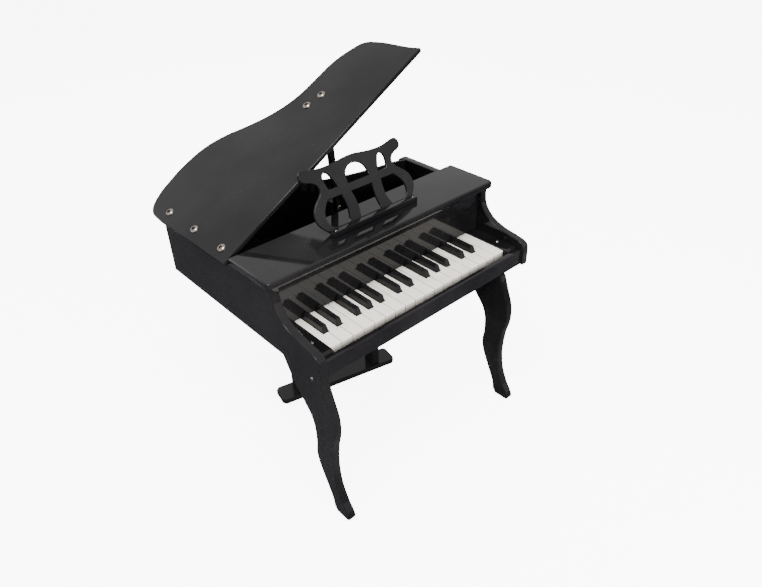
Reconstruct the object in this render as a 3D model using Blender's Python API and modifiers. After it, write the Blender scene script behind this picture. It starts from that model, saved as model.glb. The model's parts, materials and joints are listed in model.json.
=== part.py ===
"""Miniature grand piano: a toy baby grand with playing keys, an opening lid and a music desk.

Metres, +Z up. X runs along the keyboard, Y from the player to the tail, Z = 0 is the floor.
Every moving piece hangs under an empty that stands on its joint's axis.
"""

import math

import bmesh
import bpy
from mathutils import Matrix, Vector

# ---------------------------------------------------------------- driving dimensions
MM = 0.001
GAP = 0.0003                       # clearance between pieces that touch

KEY_PITCH = 0.0225                 # one white key and its gap
WHITE_COUNT = 18
KEY_TOP = 0.306                    # playing surface above the floor
KEY_HEIGHT = 0.016
KEY_GAP = 0.0006                   # between neighbouring keys
WHITE_HEAD = 0.0320                # full-width part of a white key
KEY_LENGTH = 0.168
BLACK_WIDTH = 0.0118
BLACK_RISE = 0.0112                # black cap above the white tops
BLACK_FRONT = 0.0325
BLACK_SHIFT = {0: -0.0036, 1: 0.0016, 3: -0.0040, 4: -0.0008, 5: 0.0020}
PIVOT_Y = 0.132
PIVOT_DROP = 0.0085                # rod centre below the key tops
ROD_RADIUS = 0.0020
ROD_HOLE = 0.0023

PANEL = 0.015                      # side panels and other main boards
CASE_HALF = 0.2435                 # to the outer faces of the side panels
INNER_HALF = CASE_HALF - PANEL
CASE_BOTTOM = 0.2745
CASE_TOP = 0.3902                  # upper edge of side and bent panels
LEFT_TAIL = 0.414
RIGHT_TAIL = 0.307
BENT_THICK = 0.005
RIGHT_LEG_X = 0.1788               # middle of the right leg, inside the side panel
RIGHT_LEG_BACK = 0.0038            # and this much behind the left leg
FLOOR_BOARD = 0.006

BOARD_HALF = 0.2515                # top board
BOARD_FRONT = 0.0729
BOARD_BACK = 0.180
BOARD_THICK = 0.0145
BOARD_TOP = CASE_TOP + GAP + BOARD_THICK

FALLBOARD_Y = 0.0875
FALLBOARD_THICK = 0.009
KEYSLIP_FRONT = -0.0214
KEYSLIP_THICK = 0.0102
KEYSLIP_TOP = 0.3053
BLOCK_TOP = KEY_TOP + 0.002
BLOCK_FRONT = -0.0100
BLOCK_BACK = 0.1380

LID_OPEN = math.radians(29.8)
LID_THICK = 0.008
HINGE_X = -0.2460
HINGE_Z = 0.3897
HINGE_RADIUS = 0.0019
LEAF_THICK = 0.001
LID_LIFT = 0.0034                  # lid underside above the hinge axis when closed
LID_FRONT = 0.1836
HINGE_ENDS = (0.192, 0.398)
HINGE_JOINTS = (0.256, 0.334)      # where the knuckles meet
BOLT_RADIUS = 0.0077
BOLT_DOME = 0.0036
BOLT_SHANK = 0.0030
LID_BOLTS = ((0.0105, 0.2130), (0.0105, 0.2980), (0.0105, 0.3825))
PLATE_BOLTS = ((0.3020, 0.3050), (0.3319, 0.2954))
PROP_PLATE_THICK = 0.008

PROP_X = 0.0396
PROP_Z = 0.3528
PROP_LEAN = math.radians(-4.0)
PROP_HALF = 0.0060
PROP_THICK = 0.009
PROP_Y = 0.2735                    # middle of the stick
PROP_PIN_RADIUS = 0.0030

DESK_X = -0.0025
DESK_Y = 0.1215                    # foot of the desk's front face
DESK_LEAN = math.radians(31.5)
DESK_THICK = 0.0055
LEDGE_HEIGHT = 0.0095
LEDGE_DEPTH = 0.0095
LEDGE_HALF = 0.0960

FOOT_CENTRE = (-0.0308, 0.2222)
FOOT_YAW = math.radians(-12.6)
FOOT_LENGTH = 0.256
FOOT_WIDTH = 0.0445
FOOT_THICK = 0.012
POST_SPREAD = 0.0850
POST_SIZE = (0.0165, 0.034)

CHIME_Y = 0.1735
CHIME_Z = 0.3290
CHIME_SIZE = 0.010
CHIME_ROD = 0.0014

# The origin stands on the floor under the middle of the whole object's box.
CENTRE_X = -0.0047
CENTRE_Y = 0.1917


# ---------------------------------------------------------------- small tools
def clear_scene() -> None:
    for obj in list(bpy.data.objects):
        bpy.data.objects.remove(obj, do_unlink=True)


def make_collection(name: str) -> bpy.types.Collection:
    collection = bpy.data.collections.new(name)
    bpy.context.scene.collection.children.link(collection)
    return collection


def make_material(name, colour, roughness=0.3, metallic=0.0):
    material = bpy.data.materials.new(name)
    material.use_nodes = True
    shader = material.node_tree.nodes["Principled BSDF"]
    shader.inputs["Base Color"].default_value = (*colour, 1.0)
    shader.inputs["Roughness"].default_value = roughness
    shader.inputs["Metallic"].default_value = metallic
    return material


def add_mesh_object(name, mesh, material, parent=None, matrix=None):
    """Link a mesh as a named part of the piano."""
    mesh.name = name
    obj = bpy.data.objects.new(name, mesh)
    PIANO.objects.link(obj)
    mesh.materials.clear()
    mesh.materials.append(material)
    if parent is not None:
        obj.parent = parent
    if matrix is not None:
        obj.matrix_basis = matrix
    return obj


def add_empty(name, location, rotation=(0.0, 0.0, 0.0), parent=None):
    empty = bpy.data.objects.new(name, None)
    empty.empty_display_size = 0.02
    empty.location = location
    empty.rotation_euler = rotation
    PIANO.objects.link(empty)
    if parent is not None:
        empty.parent = parent
    return empty


def box_mesh(name, lower, upper):
    """A closed box between two corners."""
    bm = bmesh.new()
    bmesh.ops.create_cube(bm, size=1.0)
    size = Vector(upper) - Vector(lower)
    middle = (Vector(upper) + Vector(lower)) / 2
    bmesh.ops.scale(bm, vec=size, verts=bm.verts)
    bmesh.ops.translate(bm, vec=middle, verts=bm.verts)
    mesh = bpy.data.meshes.new(name)
    bm.to_mesh(mesh)
    bm.free()
    return mesh


def rod_mesh(name, radius, start, end, sides=16):
    """A closed cylinder between two points."""
    start = Vector(start)
    end = Vector(end)
    span = end - start
    turn = span.to_track_quat("Z", "Y").to_matrix().to_4x4()
    matrix = Matrix.Translation((start + end) / 2) @ turn
    bm = bmesh.new()
    bmesh.ops.create_cone(bm, cap_ends=True, segments=sides, radius1=radius,
                          radius2=radius, depth=span.length, matrix=matrix)
    mesh = bpy.data.meshes.new(name)
    bm.to_mesh(mesh)
    bm.free()
    return mesh


def flat_outline_mesh(name, splines, thickness, bevel=0.0, resolution=4, matrix=None):
    """A flat board from closed outlines; each point is (x, y, smooth).

    The first outline is the edge and any others are holes. The board is centred on its
    own XY plane, then moved by the matrix.
    """
    curve = bpy.data.curves.new(name, "CURVE")
    curve.dimensions = "2D"
    curve.fill_mode = "BOTH"
    curve.resolution_u = resolution
    curve.extrude = thickness / 2 - bevel
    curve.bevel_depth = bevel
    curve.bevel_resolution = 0
    curve.offset = -bevel
    for points in splines:
        spline = curve.splines.new("BEZIER")
        spline.bezier_points.add(len(points) - 1)
        for knot, (x, y, smooth) in zip(spline.bezier_points, points):
            knot.co = (x, y, 0.0)
            kind = "AUTO" if smooth else "VECTOR"
            knot.handle_left_type = kind
            knot.handle_right_type = kind
        spline.use_cyclic_u = True
    holder = bpy.data.objects.new(name + "_outline", curve)
    bpy.context.scene.collection.objects.link(holder)
    depsgraph = bpy.context.evaluated_depsgraph_get()
    mesh = bpy.data.meshes.new_from_object(holder.evaluated_get(depsgraph))
    bpy.data.objects.remove(holder, do_unlink=True)
    bpy.data.curves.remove(curve)
    weld(mesh)
    if matrix is not None:
        mesh.transform(matrix)
    return mesh


def weld(mesh, distance=0.00001):
    bm = bmesh.new()
    bm.from_mesh(mesh)
    bmesh.ops.remove_doubles(bm, verts=bm.verts, dist=distance)
    bmesh.ops.dissolve_degenerate(bm, edges=bm.edges, dist=distance)
    bmesh.ops.recalc_face_normals(bm, faces=bm.faces)
    bm.to_mesh(mesh)
    bm.free()


def rounded_rectangle(x0, y0, x1, y1, radius):
    """Outline points of a rectangle with round corners, as (x, y, smooth)."""
    points = []
    corners = ((x1, y1, 0), (x0, y1, 90), (x0, y0, 180), (x1, y0, 270))
    for x, y, start in corners:
        cx = x - radius if x == x1 else x + radius
        cy = y - radius if y == y1 else y + radius
        for step in range(4):
            angle = math.radians(start + 30 * step)
            points.append((cx + radius * math.cos(angle), cy + radius * math.sin(angle), False))
    return points


def join_cutters(meshes, name):
    """One hidden object holding several meshes, for a Boolean."""
    bm = bmesh.new()
    for mesh in meshes:
        bm.from_mesh(mesh)
    merged = bpy.data.meshes.new(name)
    bm.to_mesh(merged)
    bm.free()
    obj = bpy.data.objects.new(name, merged)
    CUTTERS.objects.link(obj)
    obj.hide_render = True
    obj.display_type = "WIRE"
    return obj


def boolean(obj, meshes, operation="DIFFERENCE"):
    """Cut or join meshes, which are given in the object's own frame."""
    cutter = join_cutters(meshes, obj.name + "_" + operation.lower())
    cutter.parent = obj.parent
    cutter.matrix_basis = obj.matrix_basis
    modifier = obj.modifiers.new(operation.title(), "BOOLEAN")
    modifier.operation = operation
    modifier.solver = "EXACT"
    modifier.object = cutter
    return modifier


def add_bevel(obj, width, segments=1, angle=40.0):
    modifier = obj.modifiers.new("Bevel", "BEVEL")
    modifier.width = width
    modifier.segments = segments
    modifier.limit_method = "ANGLE"
    modifier.angle_limit = math.radians(angle)
    modifier.harden_normals = False
    return modifier


def turned_object(name, profile, material, parent, matrix, steps=16):
    """A solid turned about its own Z axis; profile runs from top to bottom at +X."""
    mesh = bpy.data.meshes.new(name)
    bm = bmesh.new()
    verts = [bm.verts.new((radius, 0.0, height)) for radius, height in profile]
    for first, second in zip(verts, verts[1:]):
        bm.edges.new((first, second))
    bm.to_mesh(mesh)
    bm.free()
    obj = add_mesh_object(name, mesh, material, parent, matrix)
    screw = obj.modifiers.new("Turn", "SCREW")
    screw.steps = steps
    screw.render_steps = steps
    screw.use_merge_vertices = True
    screw.merge_threshold = 0.00001
    return obj


# ---------------------------------------------------------------- case
def leg_profile(top):
    """S-shaped front leg as (y, z), from its rear top corner round the toe to the front."""
    return [
        (0.0690, top, False),
        (0.0475, 0.2372, True),
        (0.0275, 0.2120, True),
        (0.0060, 0.1830, True),
        (0.0005, 0.1400, True),
        (0.0030, 0.1060, True),
        (-0.0150, 0.0590, True),
        (-0.0300, 0.0260, True),
        (-0.0335, 0.0085, False),
        (-0.0400, 0.0, False),
        (-0.0660, 0.0, False),
        (-0.0705, 0.0035, True),
        (-0.0680, 0.0140, True),
        (-0.0560, 0.0330, True),
        (-0.0410, 0.0760, True),
        (-0.0412, 0.1440, True),
        (-0.0492, 0.1830, True),
        (-0.0478, 0.2150, True),
        (-0.0375, 0.2440, True),
        (-0.0270, top, False),
    ]


def tail_profile(tail):
    """Rear end of a side panel as (y, z), from the upper edge down."""
    return [
        (tail - 0.016, CASE_TOP, False),
        (tail - 0.006, CASE_TOP - 0.0025, True),
        (tail, CASE_TOP - 0.013, False),
        (tail, CASE_BOTTOM, False),
    ]


def cheek_profile():
    """Front end of a side panel as (y, z): the arm's face, then the hollow cheek above it."""
    return [
        (-0.0262, 0.3030, False),
        (-0.0238, 0.3140, True),
        (-0.0165, 0.3195, True),
        (0.0000, 0.3228, True),
        (0.0410, 0.3312, True),
        (0.0640, 0.3440, True),
        (0.0770, 0.3620, True),
        (0.0800, 0.3780, True),
        (0.0795, CASE_TOP, False),
    ]


def panel_matrix(x):
    """Turns an outline drawn in (y, z) into a board that stands across X."""
    return Matrix(((0, 0, 1, x), (1, 0, 0, 0), (0, 1, 0, 0), (0, 0, 0, 1)))


def build_left_panel():
    """Left side: case, arm and front leg are one board."""
    outline = tail_profile(LEFT_TAIL) + leg_profile(CASE_BOTTOM) + cheek_profile()
    place = panel_matrix(PANEL / 2 - CASE_HALF)
    mesh = flat_outline_mesh("left_side_panel", [outline], PANEL, 0.0012, 4, place)
    return add_mesh_object("left_side_panel", mesh, LACQUER, BODY)


def build_right_panel():
    """Right side: the board ends at the arm, because its leg stands further in."""
    outline = tail_profile(RIGHT_TAIL) + [(-0.0262, CASE_BOTTOM, False)] + cheek_profile()
    place = panel_matrix(CASE_HALF - PANEL / 2)
    mesh = flat_outline_mesh("right_side_panel", [outline], PANEL, 0.0012, 4, place)
    return add_mesh_object("right_side_panel", mesh, LACQUER, BODY)


def build_right_leg():
    """Right front leg, a board of its own under the bottom board."""
    place = panel_matrix(RIGHT_LEG_X) @ Matrix.Translation((RIGHT_LEG_BACK, 0, 0))
    outline = leg_profile(CASE_BOTTOM - GAP)
    mesh = flat_outline_mesh("right_leg", [outline], PANEL, 0.0012, 4, place)
    return add_mesh_object("right_leg", mesh, LACQUER, BODY)


def bent_line():
    """Middle line of the bent tail panel from right to left, as (x, y)."""
    half = INNER_HALF - GAP
    return [
        (half, 0.2835), (0.2025, 0.2920), (0.1650, 0.2955), (0.1300, 0.3010),
        (0.0950, 0.3095), (0.0500, 0.3245), (0.0050, 0.3450), (-0.0350, 0.3690),
        (-0.0750, 0.3895), (-0.1200, 0.4000), (-0.1750, 0.4030), (-half, 0.4020),
    ]


def smooth_chain(points, steps=3):
    """Points along a Catmull-Rom curve through the given ones."""
    vectors = [Vector(point) for point in points]
    vectors = [2 * vectors[0] - vectors[1]] + vectors + [2 * vectors[-1] - vectors[-2]]
    chain = []
    for before, start, end, after in zip(vectors, vectors[1:], vectors[2:], vectors[3:]):
        for step in range(steps):
            t = step / steps
            chain.append(0.5 * (2 * start + (end - before) * t
                                + (2 * before - 5 * start + 4 * end - after) * t * t
                                + (3 * start - before - 3 * end + after) * t ** 3))
    chain.append(vectors[-2])
    return chain


def offset_chain(chain, distance):
    """The chain moved sideways; positive is towards the tail for a right-to-left line."""
    moved = []
    last = len(chain) - 1
    for index, point in enumerate(chain):
        along = (chain[min(index + 1, last)] - chain[max(index - 1, 0)]).normalized()
        if index in (0, last):
            moved.append(Vector((point.x, point.y + distance / max(abs(along.x), 0.2))))
        else:
            moved.append(point + Vector((along.y, -along.x)) * distance)
    return moved


def build_bent_panel():
    """Open wall along the bent line, given its thickness by Solidify."""
    chain = smooth_chain(bent_line())
    bottom = CASE_BOTTOM + FLOOR_BOARD + GAP
    outer = offset_chain(chain, BENT_THICK / 2)
    inner = offset_chain(chain, -BENT_THICK / 2)
    outline = [(p.x, p.y, False) for p in outer] + [(p.x, p.y, False) for p in reversed(inner)]
    height = CASE_TOP - bottom
    lift = Matrix.Translation((0, 0, bottom + height / 2))
    mesh = flat_outline_mesh("bent_panel", [outline], height, 0.0, 1, lift)
    return add_mesh_object("bent_panel", mesh, LACQUER, BODY)


def build_bottom_board():
    """Floor of the case: straight at the front and sides, and bent like the tail."""
    chain = offset_chain(smooth_chain(bent_line(), 2), BENT_THICK / 2)
    front = KEYSLIP_FRONT + KEYSLIP_THICK + GAP
    half = INNER_HALF - GAP
    outline = [(-half, front, False), (half, front, False)] + [(p.x, p.y, False) for p in chain]
    lift = Matrix.Translation((0, 0, CASE_BOTTOM + FLOOR_BOARD / 2))
    mesh = flat_outline_mesh("bottom_board", [outline], FLOOR_BOARD, 0.0, 1, lift)
    return add_mesh_object("bottom_board", mesh, INNER_BOARD, BODY)


def build_keyslip():
    half = INNER_HALF - GAP
    mesh = box_mesh("keyslip", (-half, KEYSLIP_FRONT, CASE_BOTTOM),
                    (half, KEYSLIP_FRONT + KEYSLIP_THICK, KEYSLIP_TOP))
    obj = add_mesh_object("keyslip", mesh, LACQUER, BODY)
    add_bevel(obj, 0.0012, 2)
    return obj


def build_fallboard():
    half = INNER_HALF - GAP
    mesh = box_mesh("fallboard", (-half, FALLBOARD_Y, BLOCK_TOP + GAP),
                    (half, FALLBOARD_Y + FALLBOARD_THICK, CASE_TOP))
    obj = add_mesh_object("fallboard", mesh, LACQUER, BODY)
    add_bevel(obj, 0.0006)
    return obj


def build_top_board():
    outline = [
        (BOARD_HALF, BOARD_BACK, False), (-BOARD_HALF, BOARD_BACK, False),
    ]
    radius = 0.007
    for centre_x, start in ((-BOARD_HALF + radius, 180), (BOARD_HALF - radius, 270)):
        for step in range(5):
            angle = math.radians(start + 22.5 * step)
            outline.append((centre_x + radius * math.cos(angle),
                            BOARD_FRONT + radius + radius * math.sin(angle), False))
    lift = Matrix.Translation((0, 0, BOARD_TOP - BOARD_THICK / 2))
    mesh = flat_outline_mesh("top_board", [outline], BOARD_THICK, 0.0028, 1, lift)
    return add_mesh_object("top_board", mesh, LACQUER, BODY)


def build_key_block(name, side):
    """Block that closes the keyboard at one end, with a rounded front and a screw hole."""
    inner = WHITE_COUNT / 2 * KEY_PITCH + 0.0006
    outer = INNER_HALF - GAP
    bottom = CASE_BOTTOM + FLOOR_BOARD + GAP
    x0, x1 = (inner, outer) if side > 0 else (-outer, -inner)
    nose = 0.006
    outline = [(BLOCK_BACK, bottom, False), (BLOCK_BACK, BLOCK_TOP, False)]
    for step in range(5):
        angle = math.radians(90 + 22.5 * step)
        outline.append((BLOCK_FRONT + nose + nose * math.cos(angle),
                        BLOCK_TOP - nose + nose * math.sin(angle), False))
    outline.append((BLOCK_FRONT, bottom, False))
    mesh = flat_outline_mesh(name, [outline], x1 - x0, 0.0, 1, panel_matrix((x0 + x1) / 2))
    obj = add_mesh_object(name, mesh, LACQUER, BODY)
    x, y = side * 0.2178, 0.0265
    hole = rod_mesh(name + "_screw_hole", 0.0024, (x, y, BLOCK_TOP - 0.0105),
                    (x, y, BLOCK_TOP + 0.002), 12)
    rod = rod_mesh(name + "_rod_hole", ROD_HOLE, (-0.3, PIVOT_Y, KEY_TOP - PIVOT_DROP),
                   (0.3, PIVOT_Y, KEY_TOP - PIVOT_DROP), 12)
    boolean(obj, [hole, rod])
    return obj


def build_block_screw(name, side):
    """Pan-head screw in the top of a key block."""
    profile = ((0.0, 0.0024), (0.0022, 0.0021), (0.0038, 0.0012), (0.0043, GAP),
               (0.0021, GAP), (0.0021, -0.0100), (0.0, -0.0100))
    place = Matrix.Translation((side * 0.2178, 0.0265, BLOCK_TOP))
    return turned_object(name, profile, NICKEL, BODY, place, 14)


# ---------------------------------------------------------------- keys
def black_centres():
    """Centre x of each black key with its note number in the octave."""
    centres = []
    left = -WHITE_COUNT / 2 * KEY_PITCH
    for white in range(WHITE_COUNT - 1):
        note = white % 7
        if note in BLACK_SHIFT:
            centres.append(left + (white + 1) * KEY_PITCH + BLACK_SHIFT[note])
    return centres


def rod_cutter(name):
    return rod_mesh(name, ROD_HOLE, (-0.03, 0.0, -PIVOT_DROP), (0.03, 0.0, -PIVOT_DROP), 10)


def key_empty(name, centre):
    """Empty on the key's pivot line."""
    return add_empty(name + "_pivot", (centre, PIVOT_Y, KEY_TOP - PIVOT_DROP), parent=BODY)


def build_white_key(index, blacks):
    """White key: wide head, a tail that is cut back beside the black keys."""
    name = f"white_key_{index + 1:02d}"
    left = (index - WHITE_COUNT / 2) * KEY_PITCH
    centre = left + KEY_PITCH / 2
    half = (KEY_PITCH - KEY_GAP) / 2
    reach = BLACK_WIDTH / 2 + KEY_GAP
    tail_left = centre - half
    tail_right = centre + half
    for black in blacks:
        if abs(black - left) < KEY_PITCH / 3:
            tail_left = black + reach
        if abs(black - left - KEY_PITCH) < KEY_PITCH / 3:
            tail_right = black - reach
    outline = [(centre - half, 0.0), (centre + half, 0.0)]
    if tail_right < centre + half:
        outline += [(centre + half, WHITE_HEAD), (tail_right, WHITE_HEAD)]
    outline += [(tail_right, KEY_LENGTH), (tail_left, KEY_LENGTH)]
    if tail_left > centre - half:
        outline += [(tail_left, WHITE_HEAD), (centre - half, WHITE_HEAD)]
    local = [(x - centre, y - PIVOT_Y, False) for x, y in outline]
    lift = Matrix.Translation((0, 0, PIVOT_DROP - KEY_HEIGHT / 2))
    mesh = flat_outline_mesh(name, [local], KEY_HEIGHT, 0.0, 1, lift)
    pivot = key_empty(name, centre)
    obj = add_mesh_object(name, mesh, IVORY, pivot)
    boolean(obj, [rod_mesh(name + "_hole", ROD_HOLE, (-0.03, 0, 0), (0.03, 0, 0), 10)])
    return obj


def build_black_key(index, centre):
    """Black key: a low tail under the fallboard and a raised cap with sloping sides."""
    name = f"black_key_{index + 1:02d}"
    pivot = key_empty(name, centre)
    half = BLACK_WIDTH / 2
    base = PIVOT_DROP
    front = BLACK_FRONT - PIVOT_Y
    cap_end = FALLBOARD_Y - 0.0012 - PIVOT_Y
    tail = KEY_LENGTH - PIVOT_Y
    bm = bmesh.new()
    bmesh.ops.create_cube(bm, size=1.0)
    for vert in bm.verts:
        high = vert.co.z > 0
        narrow = 0.0012 if high else 0.0
        x = math.copysign(half - narrow, vert.co.x)
        if vert.co.y > 0:
            y = cap_end
        else:
            y = front + (0.0058 if high else 0.0)
        z = base + BLACK_RISE if high else base - 0.004
        vert.co = (x, y, z)
    top_edges = [edge for edge in bm.edges if all(v.co.z > base for v in edge.verts)]
    bmesh.ops.bevel(bm, geom=top_edges, offset=0.0012, segments=2, affect="EDGES")
    bmesh.ops.recalc_face_normals(bm, faces=bm.faces)
    mesh = bpy.data.meshes.new(name)
    bm.to_mesh(mesh)
    bm.free()
    obj = add_mesh_object(name, mesh, EBONY, pivot)
    body = box_mesh(name + "_body", (-half, front, base - KEY_HEIGHT), (half, tail, base - 0.0004))
    boolean(obj, [body], "UNION")
    boolean(obj, [rod_mesh(name + "_hole", ROD_HOLE, (-0.03, 0, 0), (0.03, 0, 0), 10)])
    return obj


def build_keys():
    blacks = black_centres()
    for index in range(WHITE_COUNT):
        build_white_key(index, blacks)
    for index, centre in enumerate(blacks):
        build_black_key(index, centre)


def build_pivot_rod():
    half = INNER_HALF - GAP
    height = KEY_TOP - PIVOT_DROP
    mesh = rod_mesh("key_pivot_rod", ROD_RADIUS, (-half, PIVOT_Y, height), (half, PIVOT_Y, height))
    return add_mesh_object("key_pivot_rod", mesh, STEEL, BODY)


def build_chime_bar():
    """Cast bar across the case with one tuned rod over each key's tail."""
    half = INNER_HALF - GAP
    size = CHIME_SIZE / 2
    mesh = box_mesh("chime_bar", (-half, CHIME_Y - size, CHIME_Z - size),
                    (half, CHIME_Y + size, CHIME_Z + size))
    obj = add_mesh_object("chime_bar", mesh, STEEL, BODY)
    left = -WHITE_COUNT / 2 * KEY_PITCH
    tails = [left + (index + 0.5) * KEY_PITCH for index in range(WHITE_COUNT)]
    tails = sorted(tails + black_centres())
    rods = []
    for index, x in enumerate(tails):
        length = 0.068 - 0.0011 * index
        start = (x, CHIME_Y - size + 0.002, CHIME_Z)
        end = (x, CHIME_Y - size - length, CHIME_Z)
        rods.append(rod_mesh(f"chime_rod_{index}", CHIME_ROD, start, end, 6))
    boolean(obj, rods, "UNION")
    return obj


# ---------------------------------------------------------------- stand
def foot_matrix(along=0.0, height=0.0):
    place = Matrix.Translation((FOOT_CENTRE[0], FOOT_CENTRE[1], height))
    return place @ Matrix.Rotation(FOOT_YAW, 4, "Z") @ Matrix.Translation((along, 0, 0))


def build_foot_bar():
    length, width, cut = FOOT_LENGTH / 2, FOOT_WIDTH / 2, 0.006
    outline = [
        (length, width - cut, False), (length - cut, width, False),
        (-length + cut, width, False), (-length, width - cut, False),
        (-length, -width + cut, False), (-length + cut, -width, False),
        (length - cut, -width, False), (length, -width + cut, False),
    ]
    mesh = flat_outline_mesh("rear_foot_bar", [outline], FOOT_THICK, 0.001, 1)
    return add_mesh_object("rear_foot_bar", mesh, LACQUER, BODY, foot_matrix(0, FOOT_THICK / 2))


def build_rear_post(name, along):
    wide, deep = POST_SIZE
    bottom = FOOT_THICK + GAP
    top = CASE_BOTTOM - GAP
    mesh = box_mesh(name, (-wide / 2, -deep / 2, bottom), (wide / 2, deep / 2, top))
    obj = add_mesh_object(name, mesh, LACQUER, BODY, foot_matrix(along))
    add_bevel(obj, 0.001)
    return obj


# ---------------------------------------------------------------- lid and prop
def lid_outline():
    """Lid seen from above when closed: x from the hinge axis, y along the case."""
    points = (
        (-0.0085, LID_FRONT, 0), (0.4800, LID_FRONT, 0), (0.4830, 0.1850, 0),
        (0.4795, 0.2050, 1),
        (0.4770, 0.2400, 1), (0.4735, 0.2800, 1), (0.4640, 0.3100, 1), (0.4400, 0.3260, 1),
        (0.4030, 0.3385, 1), (0.3560, 0.3415, 1), (0.3130, 0.3455, 1), (0.2700, 0.3610, 1),
        (0.2250, 0.3910, 1), (0.1830, 0.4260, 1), (0.1450, 0.4460, 1), (0.1050, 0.4535, 1),
        (0.0600, 0.4525, 1), (0.0180, 0.4435, 1), (-0.0045, 0.4265, 1), (-0.0105, 0.4000, 1),
        (-0.0100, 0.3600, 0),
    )
    return [(x, y, bool(smooth)) for x, y, smooth in points]


def build_lid():
    lift = Matrix.Translation((0, 0, LID_LIFT + LID_THICK / 2))
    mesh = flat_outline_mesh("lid", [lid_outline()], LID_THICK, 0.0012, 4, lift)
    obj = add_mesh_object("lid", mesh, LACQUER, LID_PIVOT)
    holes = [lid_hole(f"lid_hole_{x}_{y}", x, y) for x, y in LID_BOLTS + PLATE_BOLTS]
    boolean(obj, holes)
    return obj


def lid_hole(name, x, y, low=-0.03, high=0.03):
    return rod_mesh(name, BOLT_SHANK + GAP, (x, y, low), (x, y, high), 12)


def build_lid_bolt(name, x, y, depth):
    """Domed bolt with a hexagonal socket; the shank goes down through the lid."""
    top = LID_LIFT + LID_THICK + GAP
    dome = [(BOLT_RADIUS * math.sin(math.radians(angle)),
             BOLT_DOME * math.cos(math.radians(angle))) for angle in (0, 22, 44, 66, 90)]
    profile = dome + [(BOLT_SHANK, 0.0), (BOLT_SHANK, -depth), (0.0, -depth)]
    place = Matrix.Translation((x, y, top))
    obj = turned_object(name, profile, NICKEL, LID_PIVOT, place)
    boolean(obj, [rod_mesh(name + "_socket", 0.0023, (0, 0, 0.0012), (0, 0, 0.006), 6)])
    return obj


def build_fixed_leaf():
    """Hinge leaf on top of the left side panel, with the two outer knuckles."""
    start, end = HINGE_ENDS
    first, second = HINGE_JOINTS
    low = CASE_TOP + GAP - HINGE_Z
    outline = [
        (0.0, start, False), (0.0165, start, False), (0.0165, end, False), (0.0, end, False),
        (0.0, second + GAP, False), (0.0030, second + GAP, False),
        (0.0030, first - GAP, False), (0.0, first - GAP, False),
    ]
    lift = Matrix.Translation((0, 0, low + LEAF_THICK / 2))
    mesh = flat_outline_mesh("lid_hinge_fixed_leaf", [outline], LEAF_THICK, 0.0, 1, lift)
    place = Matrix.Translation((HINGE_X, 0, HINGE_Z))
    obj = add_mesh_object("lid_hinge_fixed_leaf", mesh, STEEL, BODY, place)
    knuckles = [
        rod_mesh("knuckle_front", HINGE_RADIUS, (0, start, 0), (0, first - GAP, 0), 12),
        rod_mesh("knuckle_back", HINGE_RADIUS, (0, second + GAP, 0), (0, end, 0), 12),
    ]
    boolean(obj, knuckles, "UNION")
    return obj


def build_moving_leaf():
    """Hinge leaf under the lid, with the middle knuckle."""
    start, end = HINGE_ENDS
    first, second = HINGE_JOINTS
    top = LID_LIFT - GAP
    low = top - LEAF_THICK
    outline = [
        (0.0030, start, False), (0.0210, start, False), (0.0210, end, False),
        (0.0030, end, False), (0.0030, second, False), (-0.0012, second, False),
        (-0.0012, first, False), (0.0030, first, False),
    ]
    lift = Matrix.Translation((0, 0, low + LEAF_THICK / 2))
    mesh = flat_outline_mesh("lid_hinge_leaf", [outline], LEAF_THICK, 0.0, 1, lift)
    obj = add_mesh_object("lid_hinge_leaf", mesh, STEEL, LID_PIVOT)
    knuckle = rod_mesh("knuckle_middle", HINGE_RADIUS, (0, first, 0), (0, second, 0), 12)
    web = box_mesh("knuckle_web", (-0.0010, first + 0.0002, 0.0), (0.0010, second - 0.0002, low + 0.0005))
    boolean(obj, [knuckle], "UNION")
    boolean(obj, [web], "UNION")
    return obj


def plate_bottom():
    """Height of the prop plate's underside above the hinge axis, lid closed."""
    return LID_LIFT - GAP - PROP_PLATE_THICK


def build_prop_plate():
    """Wooden plate bolted under the lid, which the prop's round end bears on."""
    outline = [
        (0.2830, 0.2640, False), (0.3480, 0.2640, False), (0.3480, 0.2990, False),
        (0.3450, 0.3025, False), (0.2870, 0.3190, False), (0.2830, 0.3160, False),
    ]
    lift = Matrix.Translation((0, 0, LID_LIFT - GAP - PROP_PLATE_THICK / 2))
    mesh = flat_outline_mesh("prop_plate", [outline], PROP_PLATE_THICK, 0.0008, 1, lift)
    obj = add_mesh_object("prop_plate", mesh, INNER_BOARD, LID_PIVOT)
    holes = [lid_hole(f"plate_hole_{x}", x, y, plate_bottom() + 0.002) for x, y in PLATE_BOLTS]
    boolean(obj, holes)
    return obj


def prop_length():
    """Distance from the prop's pivot to the centre of its round upper end."""
    normal = Vector((-math.sin(LID_OPEN), math.cos(LID_OPEN)))
    pivot = Vector((PROP_X - HINGE_X, PROP_Z - HINGE_Z))
    wanted = plate_bottom() - PROP_HALF - GAP
    return (wanted - pivot.dot(normal)) / math.cos(PROP_LEAN + LID_OPEN)


def build_prop():
    """Flat stick with round ends and a pivot hole at its foot."""
    length = prop_length()
    outline = []
    for centre, start in ((length, 0), (0.0, 180)):
        for step in range(9):
            angle = math.radians(start + 22.5 * step)
            outline.append((PROP_HALF * math.cos(angle), centre + PROP_HALF * math.sin(angle), False))
    stand = Matrix(((1, 0, 0, 0), (0, 0, 1, 0), (0, 1, 0, 0), (0, 0, 0, 1)))
    mesh = flat_outline_mesh("lid_prop", [outline], PROP_THICK, 0.0008, 1, stand)
    weld(mesh)
    obj = add_mesh_object("lid_prop", mesh, LACQUER, PROP_PIVOT)
    hole = rod_mesh("prop_hole", PROP_PIN_RADIUS + GAP, (0, -0.02, 0), (0, 0.02, 0), 12)
    boolean(obj, [hole])
    return obj


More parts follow.
